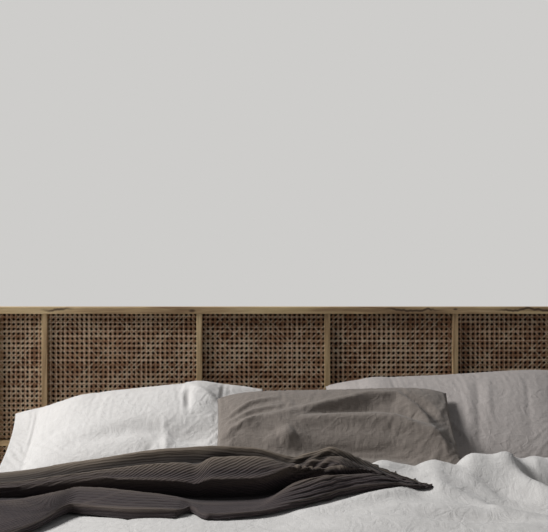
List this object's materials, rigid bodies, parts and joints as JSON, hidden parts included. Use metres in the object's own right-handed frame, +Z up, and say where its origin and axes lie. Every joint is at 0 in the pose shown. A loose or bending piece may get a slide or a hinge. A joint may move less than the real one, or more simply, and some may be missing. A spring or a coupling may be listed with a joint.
{
  "type": "double bed",
  "caption": "Wide double bed with a slim timber headboard filled with woven cane, a sprung slatted base, mattress, linen pillows, pale duvet and a dark crinkled throw.",
  "frame": {"origin": "on the floor, at the middle of the whole bed's length and width", "axes": "+X to the right when facing the headboard from the foot, +Y from the foot towards the headboard and the wall behind it, +Z up"},
  "size_m": [2.14, 2.153, 1.05],
  "materials": {
    "timber": "oiled, satin",
    "cane": "woven, satin",
    "back_board": "dark, matt",
    "slat_timber": "clear lacquer",
    "holder_plastic": "matt",
    "mattress_ticking": "woven, matt",
    "duvet_linen": "washed linen, matt",
    "white_linen": "washed linen, matt",
    "stone_linen": "washed linen, matt",
    "grey_linen": "washed linen, matt",
    "charcoal_gauze": "crinkled double gauze, matt"
  },
  "bodies": {
    "root": {"headboard_post_left": "timber", "headboard_post_right": "timber", "headboard_top_rail": "timber", "headboard_bottom_rail": "timber", "headboard_stile_1": "timber", "headboard_stile_2": "timber", "headboard_stile_3": "timber", "headboard_stile_4": "timber", "headboard_stile_5": "timber", "headboard_mid_rails": "timber", "headboard_back_board": "back_board", "cane_upper_1": "cane", "cane_upper_2": "cane", "cane_upper_3": "cane", "cane_upper_4": "cane", "cane_upper_5": "cane", "cane_upper_6": "cane", "cane_lower_1": "cane", "cane_lower_2": "cane", "cane_lower_3": "cane", "cane_lower_4": "cane", "cane_lower_5": "cane", "cane_lower_6": "cane", "head_rail": "timber", "foot_rail": "timber", "side_rail_left": "timber", "side_rail_right": "timber", "leg_foot_left": "timber", "leg_foot_right": "timber", "leg_head_left": "timber", "leg_head_right": "timber", "centre_beam": "slat_timber", "centre_legs": "slat_timber", "slat_ledge_left": "slat_timber", "slat_ledge_right": "slat_timber", "slats_left": "slat_timber", "slats_right": "slat_timber", "slat_holders_left": "holder_plastic", "slat_holders_right": "holder_plastic", "mattress": "mattress_ticking", "duvet": "duvet_linen", "throw": "charcoal_gauze", "pillow_white": "white_linen", "pillow_stone": "stone_linen", "pillow_grey": "grey_linen"}
  },
  "joints": []
}
